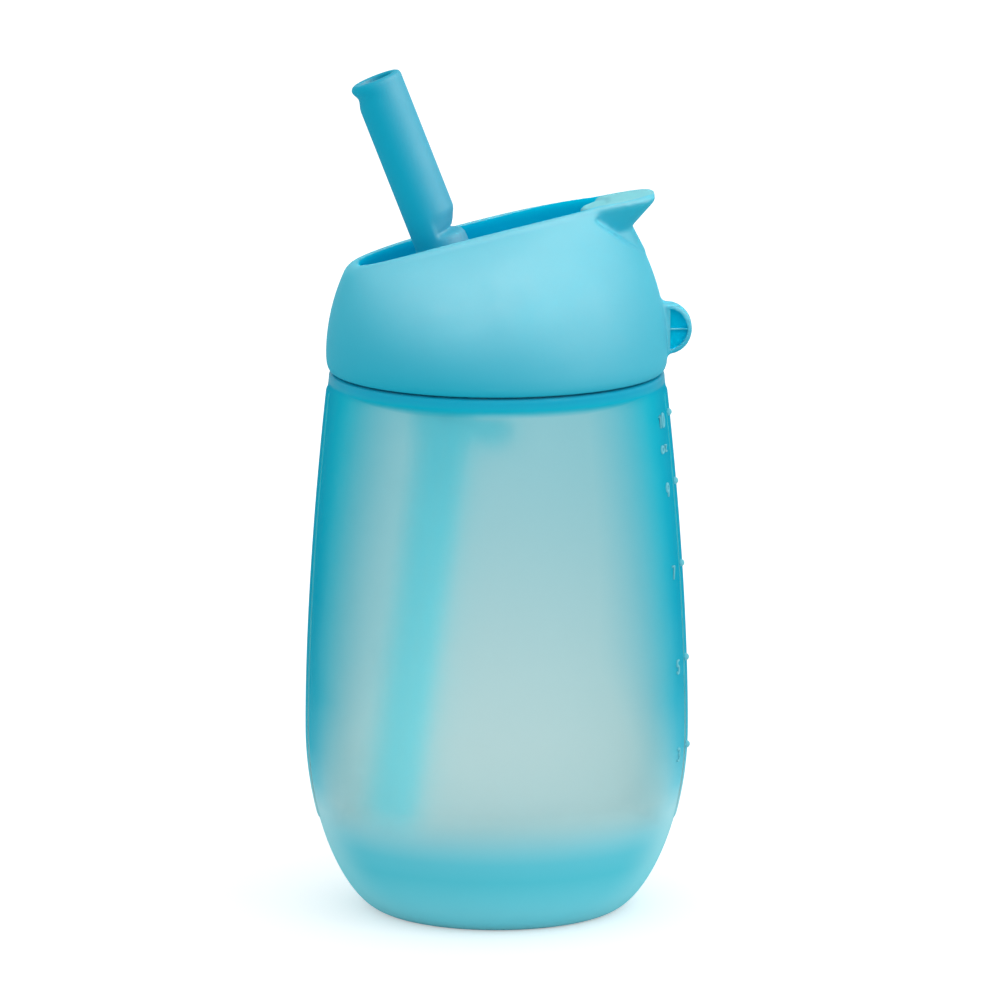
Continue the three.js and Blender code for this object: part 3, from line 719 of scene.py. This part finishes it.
# ---- dip tube: two halves that meet in a plane facing the front and back ----
# Height, outer radius and bore of the tube's head, which widens into a socket round the straw's stem.
DIP_HEAD = ((DIP_TOP - 3, DIP_RADIUS, DIP_BORE), (DIP_TOP - 2, 5.3, DIP_BORE), (DIP_TOP - 1, 5.9, DIP_BORE),
            (DIP_TOP, SOCKET_RADIUS, DIP_BORE), (93.6, SOCKET_RADIUS, DIP_BORE),
            (94, SOCKET_RADIUS, SOCKET_BORE), (96, SOCKET_RADIUS, SOCKET_BORE),
            (98.6, SOCKET_RADIUS, SOCKET_BORE), (SOCKET_TOP, SOCKET_RADIUS - 0.3, SOCKET_BORE + 0.2))


def dip_path():
    """Centres, side directions and outer and inner radii from the open end up to the socket."""
    length = (DIP_TOP - DIP_BOTTOM) / math.cos(DIP_LEAN)
    head = np.array([STEM_X + 0.2, 0, DIP_TOP])
    axis = np.array([math.sin(DIP_LEAN), 0, math.cos(DIP_LEAN)])
    side = np.array([math.cos(DIP_LEAN), 0, -math.sin(DIP_LEAN)])
    rows = [(head - back * axis, side, DIP_RADIUS, DIP_BORE) for back in np.linspace(length, 4, 30)]
    for height, outer, inner in DIP_HEAD:
        tilt = DIP_LEAN * float(smoothstep(DIP_TOP + 1 - height, 0, 5))
        x = STEM_X + (0.2 - (DIP_TOP - height) * math.tan(DIP_LEAN) if height < DIP_TOP else 0)
        rows.append((np.array([x, 0, height]), np.array([math.cos(tilt), 0, -math.sin(tilt)]), outer, inner))
    return rows


def half_tube(name, facing):
    """One half of the dip tube: facing is -1 for the front half and 1 for the back half."""
    rings = []
    for centre, side, outer, inner in dip_path():
        outside = math.acos(DIP_SEAM / outer)
        inside = math.acos(DIP_SEAM / inner)
        arc_out = [(outer * math.cos(a), outer * math.sin(a)) for a in np.linspace(-outside, outside, 34)]
        arc_in = [(inner * math.cos(a), inner * math.sin(a)) for a in np.linspace(inside, -inside, 26)]
        rings.append([centre + facing * u * side + v * AXIS_Y for u, v in arc_out + arc_in])
    return skin(name, rings)


def tab_ring(radius, y):
    turn = np.linspace(0, 2 * math.pi, 64, endpoint=False)
    return np.stack([TAB_X + radius * np.cos(turn), 0 * turn + y, TAB_Z + radius * np.sin(turn)], 1)


def make_dip_cover():
    """The back half of the tube, with a round finger tab that stands out from it on a short link."""
    half = TAB_THICK / 2
    edge = ((0.5, 0), (0.12, 0.15), (0, 0.5))
    near = [tab_ring(TAB_RADIUS - cut, -half + inset) for cut, inset in edge]
    far = [tab_ring(TAB_RADIUS - cut, half - inset) for cut, inset in edge[::-1]]
    tab = skin("tab", near + far)
    start = STEM_X + DIP_RADIUS - 0.2
    link = block("link", (start, -half, TAB_Z - 1.4), (TAB_X - 1, half, TAB_Z + 2.6))
    dimple = skin("dimple", [tab_ring(1.1, -half - 1), tab_ring(1.1, -half), tab_ring(0.6, -half + 0.4)])
    cover = combine(half_tube("dip_cover_half", 1), [link, tab], "UNION")
    return combine(cover, [dimple], "DIFFERENCE")


# ---- finishes ----
class Graph:
    """The node graph of a material or world. A value fed to a socket is another socket or a plain number."""

    def __init__(self, owner):
        owner.use_nodes = True
        self.nodes, self.links = owner.node_tree.nodes, owner.node_tree.links

    def add(self, kind, **settings):
        node = self.nodes.new("ShaderNode" + kind)
        for key, value in settings.items():
            setattr(node, key, value)
        return node

    def feed(self, socket, value):
        if isinstance(value, bpy.types.NodeSocket):
            self.links.new(value, socket)
        else:
            socket.default_value = value

    def coordinates(self, kind="Object"):
        return self.add("TexCoord").outputs[kind]

    def position(self):
        """X, Y and Z on the object, in millimetres."""
        scaled = self.add("VectorMath", operation="SCALE")
        self.feed(scaled.inputs[0], self.coordinates())
        self.feed(scaled.inputs["Scale"], 1 / MM)
        split = self.add("SeparateXYZ")
        self.feed(split.inputs["Vector"], scaled.outputs["Vector"])
        return split.outputs

    def maths(self, operation, *values):
        node = self.add("Math", operation=operation)
        for socket, value in zip(node.inputs, values):
            self.feed(socket, value)
        return node.outputs["Value"]

    def greatest(self, first, *others):
        for other in others:
            first = self.maths("MAXIMUM", first, other)
        return first

    def dot(self, first, second):
        node = self.add("VectorMath", operation="DOT_PRODUCT")
        self.feed(node.inputs[0], first)
        self.feed(node.inputs[1], second)
        return node.outputs["Value"]

    def ramp(self, value, low, high, to_low=0.0, to_high=1.0, easing="SMOOTHSTEP"):
        """Goes from one level to the other as the value goes from low to high."""
        node = self.add("MapRange", interpolation_type=easing)
        for key, number in zip(("From Min", "From Max", "To Min", "To Max"), (low, high, to_low, to_high)):
            self.feed(node.inputs[key], number)
        self.feed(node.inputs["Value"], value)
        return node.outputs["Result"]

    def mix(self, share, first, second, blend="MIX"):
        """One colour over another, by a share."""
        node = self.add("Mix", data_type="RGBA", blend_type=blend)
        for key, value in (("Factor", share), ("A", first), ("B", second)):
            self.feed(node.inputs[key], value)
        return node.outputs["Result"]

    def noise(self, size, detail):
        """Cloudy noise with patches of a size in millimetres."""
        node = self.add("TexNoise")
        self.feed(node.inputs["Scale"], 1 / (size * MM))
        self.feed(node.inputs["Detail"], detail)
        self.feed(node.inputs["Vector"], self.coordinates())
        return node.outputs["Fac"]


def linear(red, green, blue):
    """Scene colour of a display colour given from 0 to 255."""
    shares = [value / 255 for value in (red, green, blue)]
    scene = [share / 12.92 if share < 0.04 else ((share + 0.055) / 1.055) ** 2.4 for share in shares]
    return (*scene, 1)


GLOSS = 0.14
MATT = {"Specular IOR Level": GLOSS}
UNEVEN_GLOSS = 0.05
GRAIN_DEPTH = 0.05


def finish_material(name, colour, shade, roughness, grain, bump, soft=0.0, settings=MATT):
    """A procedural finish: a base colour that drifts to a shade, uneven gloss and a fine grain."""
    material = bpy.data.materials.new(name)
    graph = Graph(material)
    surface = graph.nodes["Principled BSDF"]
    graph.feed(surface.inputs["Base Color"], graph.mix(graph.noise(14, 3), colour, shade))
    gloss = graph.ramp(graph.noise(4, 2), 0, 1, roughness - UNEVEN_GLOSS, roughness + UNEVEN_GLOSS, "LINEAR")
    graph.feed(surface.inputs["Roughness"], gloss)
    relief = graph.add("Bump")
    graph.feed(relief.inputs["Strength"], bump)
    graph.feed(relief.inputs["Distance"], GRAIN_DEPTH * MM)
    graph.feed(relief.inputs["Height"], graph.noise(grain, 2))
    graph.feed(surface.inputs["Normal"], relief.outputs["Normal"])
    depths = {"Subsurface Weight": soft, "Subsurface Radius": (0.3, 0.9, 1.0), "Subsurface Scale": 2 * MM}
    for key, value in {**depths, **settings}.items():
        graph.feed(surface.inputs[key], value)
    return material


def inside_oval(graph, first, second, centre, reach, power):
    """One within an oval drawn over two coordinates, easing to nothing across its edge."""
    terms = []
    for value, middle, half in zip((first, second), centre, reach):
        scaled = graph.maths("DIVIDE", graph.maths("SUBTRACT", value, middle), half)
        terms.append(graph.maths("POWER", graph.maths("ABSOLUTE", scaled), power))
    return graph.ramp(graph.maths("ADD", *terms), 1.08, 0.96)


def in_plan(graph, x, y, oval, grow, power):
    """One within one of the lid's ovals, seen from above."""
    front, back, half = oval[:3]
    middle, reach = (front + back) / 2, (back - front) / 2
    return inside_oval(graph, x, y, (middle, 0.0), (reach + grow, half + grow), power)


def pad_share(graph, x, y, z):
    """One on the rest pad, which reaches up to a plane that runs nearly parallel to the deck."""
    plane_slope, plane_height = 0.196, 127.6
    above = graph.maths("SUBTRACT", z, graph.maths("MULTIPLY", x, plane_slope))
    on_top = graph.ramp(above, plane_height, plane_height + 0.5)
    return graph.maths("MULTIPLY", in_plan(graph, x, y, PAD_OVAL, 0.0, 2.0), on_top)


def hollow_share(graph, x, y, z):
    """One on the faces of the lug's hollows."""
    radius = LUG_RADIUS - LUG_RIM
    hollow = inside_oval(graph, x, z, (LUG_X, LUG_Z), (radius, radius), 2.0)
    sunk = graph.ramp(graph.maths("ABSOLUTE", y), LUG_HOLLOW_FACE + 0.15, LUG_HOLLOW_FACE + 0.1)
    past_dome = graph.ramp(x, LUG_X + 0.2, LUG_X + 0.5)
    return graph.maths("MULTIPLY", hollow, graph.maths("MULTIPLY", sunk, past_dome))


def lid_finish():
    """Satin plastic with painted light: a paler colour on the rest pad is a painted highlight, and a deeper
    colour with no gloss in the trough and the lug's hollows is painted shade.
    """
    material = finish_material("lid_satin", linear(18, 178, 205), linear(12, 174, 202), roughness=0.7,
                               grain=0.5, bump=0.2, soft=0.1)
    graph = Graph(material)
    surface = graph.nodes["Principled BSDF"]
    x, y, z = graph.position()
    painted_pad_highlight = pad_share(graph, x, y, z)
    trough = graph.maths("MULTIPLY", in_plan(graph, x, y, TROUGH_OVAL, 0.4, 3.0),
                         graph.maths("SUBTRACT", 1.0, painted_pad_highlight))
    # painted shade: the trough and the lug's hollows get a deeper colour and no gloss, standing in for the
    # shade that keeps the sheen out of them
    deep = graph.greatest(trough, hollow_share(graph, x, y, z))
    colour = surface.inputs["Base Color"].links[0].from_socket
    colour = graph.mix(deep, colour, linear(1, 192, 228))
    # painted highlight: the rest pad is paler where it faces up to the overhead light
    colour = graph.mix(painted_pad_highlight, colour, linear(70, 176, 192))
    graph.feed(surface.inputs["Base Color"], colour)
    # painted shade: the gloss is taken away in the trough and the hollows
    graph.feed(surface.inputs["Specular IOR Level"], graph.ramp(deep, 0.0, 1.0, GLOSS, 0.0))
    return material


def silicone_finish():
    return finish_material("silicone_satin", linear(2, 171, 202), linear(1, 167, 199), roughness=0.72,
                           grain=0.6, bump=0.2, soft=0.1)


def dip_finish():
    """Cloudy plastic, with a painted glow: a faint emission that stands in for light reaching the tube from
    all round.
    """
    # painted light: the emission makes the tube glow though it is no lamp
    painted_glow = {**MATT, "Emission Color": (0.38, 0.74, 0.93, 1), "Emission Strength": 0.22}
    return finish_material("dip_satin", linear(130, 247, 252), linear(122, 243, 249), roughness=0.6,
                           grain=0.8, bump=0.15, settings=painted_glow)


def mark_finish():
    return finish_material("mark_frost", linear(118, 206, 221), linear(108, 202, 218), roughness=0.6,
                           grain=0.5, bump=0.1)


# Scene colour of the bottle's milky share by height: face on, and where the wall turns edge on. The pale
# colours low down, in and just above the foot, are partly painted light that lifts the floor's shade seen
# through the base, and the darker blue at the top, under the lid, is painted shade.
MILKY_FACE = ((4, (0.21, 0.78, 0.90)), (11, (0.105, 0.65, 0.78)), (14.5, (0.13, 0.65, 0.78)),
              (18.5, (0.28, 0.70, 0.79)), (23, (0.44, 0.76, 0.80)), (32, (0.20, 0.64, 0.74)),
              (42, (0.02, 0.53, 0.68)), (60, (0.003, 0.50, 0.65)), (98.5, (0.003, 0.50, 0.65)),
              (100, (0.002, 0.42, 0.62)))
MILKY_RIM = ((8, (0.28, 0.80, 0.90)), (20, (0.44, 0.82, 0.89)), (25, (0.18, 0.65, 0.78)),
             (32, (0.05, 0.50, 0.66)), (44, (0.02, 0.41, 0.57)), (60, (0.003, 0.37, 0.54)))
MILKY_REACH = 105.0


def height_colours(graph, height, table):
    """The colour that a table gives at a height."""
    bands = graph.add("ValToRGB")
    stops = bands.color_ramp.elements
    while len(stops) < len(table):
        stops.new(0.5)
    for stop, (level, colour) in zip(stops, table):
        stop.position = level / MILKY_REACH
        stop.color = (*colour, 1)
    graph.feed(bands.inputs["Fac"], graph.maths("DIVIDE", height, MILKY_REACH))
    return bands.outputs["Color"]


def milky_lobe(graph, height, facing):
    """The milky side of the bottle's plastic, coloured by height."""
    lobe = graph.add("BsdfPrincipled")
    graph.feed(lobe.inputs["Roughness"], 0.5)
    graph.feed(lobe.inputs["Specular IOR Level"], 0.0)
    colour = graph.mix(graph.ramp(facing, 0.45, 0.85), height_colours(graph, height, MILKY_FACE),
                       height_colours(graph, height, MILKY_RIM))
    graph.feed(lobe.inputs["Base Color"], colour)
    return lobe


def milky_share(graph, height, facing):
    """How milky the wall is: more at a slant and higher up, and most in the foot and under the lid. In the
    foot this is partly painted light over the floor's shade seen through the base; under the lid it is
    painted shade from the lid.
    """
    taller = graph.maths("MULTIPLY", graph.maths("SUBTRACT", height, 55.0), 0.0035)
    sharper = graph.maths("MULTIPLY", graph.maths("SUBTRACT", facing, 0.5),
                          graph.ramp(height, 30.0, 55.0, 0.7, 0.0))
    slant = graph.maths("ADD", graph.maths("ADD", facing, sharper), taller)
    edge = graph.ramp(slant, 0.03, 0.78, 0.03, 0.97)
    # partly painted light: the milky foot covers the floor's shade that would show through the base
    foot = graph.ramp(height, 26.0, 16.5, 0.0, 0.95)
    shoulder = graph.ramp(height, 20.0, 110.0, 0.0, 0.32)
    # painted shade: a milky, deeper blue band under the lid's rim stands in for the lid's shade on the
    # shoulder
    painted_lid_shade = graph.ramp(height, 96.8, 99.4, 0.0, 0.95)
    return graph.greatest(edge, foot, shoulder, painted_lid_shade)


def outer_face(graph, height):
    """One on the outside, where the normal points away from the bottle's axis, and in the base."""
    shape = graph.add("NewGeometry")
    flat = graph.add("VectorMath", operation="MULTIPLY")
    graph.feed(flat.inputs[0], graph.coordinates())
    graph.feed(flat.inputs[1], (1, 1, 0))
    outward = graph.dot(flat.outputs["Vector"], shape.outputs["Normal"])
    base = graph.maths("LESS_THAN", height, FLOOR + 1)
    outside = graph.greatest(graph.maths("GREATER_THAN", outward, 0.0), base)
    return graph.maths("MULTIPLY", outside, graph.maths("SUBTRACT", 1.0, shape.outputs["Backfacing"]))


def bottle_finish():
    """Frosted plastic, dyed through: clear face on, and milky at a slant and in the foot, with painted light
    low down and a band of painted shade under the lid.
    """
    see_through = {"Transmission Weight": 1.0, "IOR": 1.35, "Specular IOR Level": 0.1}
    material = finish_material("bottle_frost", (1.0, 0.985, 0.97, 1), (0.99, 0.975, 0.965, 1), roughness=0.36,
                               grain=1.2, bump=0.12, settings=see_through)
    graph = Graph(material)
    clear = graph.nodes["Principled BSDF"]
    height = graph.position()["Z"]
    slant = graph.add("LayerWeight")
    graph.feed(slant.inputs["Blend"], 0.5)
    facing = slant.outputs["Facing"]
    milky = milky_lobe(graph, height, facing)

    # the clear share lets less light through higher up
    colour = clear.inputs["Base Color"].links[0].from_socket
    colour = graph.mix(graph.ramp(height, 30.0, 85.0), colour, (0.935, 0.957, 0.97, 1), "MULTIPLY")
    graph.feed(clear.inputs["Base Color"], colour)

    # the rolled edge under the lid is glossier than the frosted wall
    for lobe in (clear, milky):
        graph.feed(lobe.inputs["Coat Weight"], graph.ramp(height, 99.2, 99.6, 0.0, 0.25))
        graph.feed(lobe.inputs["Coat Roughness"], 0.12)

    blend = graph.add("MixShader")
    share = graph.maths("MULTIPLY", milky_share(graph, height, facing), outer_face(graph, height))
    graph.feed(blend.inputs["Fac"], share)
    graph.feed(blend.inputs[1], clear.outputs["BSDF"])
    graph.feed(blend.inputs[2], milky.outputs["BSDF"])
    dye = graph.add("VolumeAbsorption")
    graph.feed(dye.inputs["Color"], (0.02, 0.84, 0.90, 1))
    graph.feed(dye.inputs["Density"], 140)
    output = graph.nodes["Material Output"]
    graph.feed(output.inputs["Surface"], blend.outputs["Shader"])
    graph.feed(output.inputs["Volume"], dye.outputs["Volume"])
    return material


# ---- studio, in metres and watts ----
FLOOR_REACH = 4.0
FLOOR_LIFT = 0.4
ROOM_LEVEL = 0.9
ROOM_LIFT = 0.3
SHEEN_COLOUR = (1.0, 0.93, 0.8)
CAMERA_PLACE = (0, -1.5, 0.3675)
CAMERA_TILT = math.radians(11.0)
CAMERA_LENS = 295.75


def camera_ray_share(graph, strength):
    """A strength that only the camera sees."""
    return graph.maths("MULTIPLY", graph.add("LightPath").outputs["Is Camera Ray"], strength)


def make_floor():
    """A pale matt floor, lifted to white for the camera only."""
    mesh = bpy.data.meshes.new("floor")
    corners = [(-FLOOR_REACH, -FLOOR_REACH, 0), (FLOOR_REACH, -FLOOR_REACH, 0),
               (FLOOR_REACH, FLOOR_REACH, 0), (-FLOOR_REACH, FLOOR_REACH, 0)]
    mesh.from_pydata(corners, [], [(0, 1, 2, 3)])
    floor = bpy.data.objects.new("floor", mesh)
    bpy.context.scene.collection.objects.link(floor)
    material = bpy.data.materials.new("floor_pale")
    graph = Graph(material)
    surface = graph.nodes["Principled BSDF"]
    graph.feed(surface.inputs["Base Color"], (0.8, 0.8, 0.8, 1))
    graph.feed(surface.inputs["Roughness"], 0.9)
    graph.feed(surface.inputs["Specular IOR Level"], 0.0)
    graph.feed(surface.inputs["Emission Color"], (1, 1, 1, 1))
    graph.feed(surface.inputs["Emission Strength"], camera_ray_share(graph, FLOOR_LIFT))
    mesh.materials.append(material)


def make_world():
    """A white room, a little brighter overhead and to the right, and lifted to white for the camera only."""
    world = bpy.data.worlds.new("studio")
    bpy.context.scene.world = world
    graph = Graph(world)
    toward = graph.dot(graph.coordinates("Generated"), (0.2, 0.0, 0.08))
    level = graph.maths("ADD", toward, ROOM_LEVEL)
    background = graph.nodes["Background"]
    graph.feed(background.inputs["Color"], (1, 1, 1, 1))
    graph.feed(background.inputs["Strength"], graph.maths("ADD", level, camera_ray_share(graph, ROOM_LIFT)))


def add_light(name, place, aim_height, size, power):
    """A round area light, aimed at the cup's axis."""
    light = bpy.data.lights.new(name, "AREA")
    light.shape = "DISK"
    light.size = size
    light.energy = power
    obj = bpy.data.objects.new(name, light)
    bpy.context.scene.collection.objects.link(obj)
    obj.location = place
    obj.rotation_euler = (Vector((0, 0, aim_height)) - Vector(place)).to_track_quat("-Z", "Y").to_euler()
    return obj


def add_sheen(piece, name, place, aim_height, size, power):
    """A warm light that gives one piece a soft gloss, and lights nothing else."""
    obj = add_light(name, place, aim_height, size, power)
    receivers = bpy.data.collections.new(name + "_receivers")
    receivers.objects.link(piece)
    obj.light_linking.receiver_collection = receivers
    obj.data.color = SHEEN_COLOUR
    obj.visible_diffuse = False


def make_camera():
    """In front of the cup's side, above it and tilted down."""
    camera = bpy.data.cameras.new("camera")
    camera.sensor_width = 36
    camera.lens = CAMERA_LENS
    camera.shift_x = 0.0033
    camera.shift_y = 0.0043
    obj = bpy.data.objects.new("camera", camera)
    bpy.context.scene.collection.objects.link(obj)
    obj.location = CAMERA_PLACE
    obj.rotation_euler = (math.pi / 2 - CAMERA_TILT, 0, 0)
    bpy.context.scene.camera = obj


# ---- assembly ----
def dress(obj, material, body, slot, *nodes):
    """Gives a piece its material, the CAD nodes that it replaces and the body that it rides on; the slot is
    not used.
    """
    obj.data.materials.clear()
    obj.data.materials.append(material)
    if nodes:
        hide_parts(*nodes)
    if body:
        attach(obj, body)


silicone = silicone_finish()
dip_plastic = dip_finish()
bottle = make_bottle()
dress(bottle, bottle_finish(), "bottle_body", "bottle_plastic", "bottle")
dress(make_marks(), mark_finish(), "bottle_body", "bottle_plastic")
dress(make_seal_ring(), silicone, "ring_body", "silicone", "seal_ring")
lid = make_lid()
dress(lid, lid_finish(), "lid_body", "lid_plastic", "lid")
dress(make_valve(), silicone, "lid_body", "silicone", "vent_valve")
dress(half_tube("dip_channel_half", -1), dip_plastic, "lid_body", "dip_plastic", "dip_channel")
dress(make_dip_cover(), dip_plastic, "lid_body", "dip_plastic", "dip_cover")
straw = make_straw()
dress(straw, silicone, None, "silicone", "straw_spout", "straw_base")
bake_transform(straw)

make_floor()
make_world()
add_light("key", (0.9, -0.8, 1.1), 0.1, 0.6, 1.5)
add_sheen(lid, "top_sheen", (-0.1, -0.3, 1.45), 0.11, 1.8, 440)
add_sheen(lid, "side_sheen", (1.2, -0.5, 0.8), 0.11, 0.9, 215)
add_sheen(straw, "straw_sheen", (1.2, -0.35, 1.05), 0.14, 0.9, 310)
make_camera()
bpy.context.scene.view_settings.view_transform = "Standard"
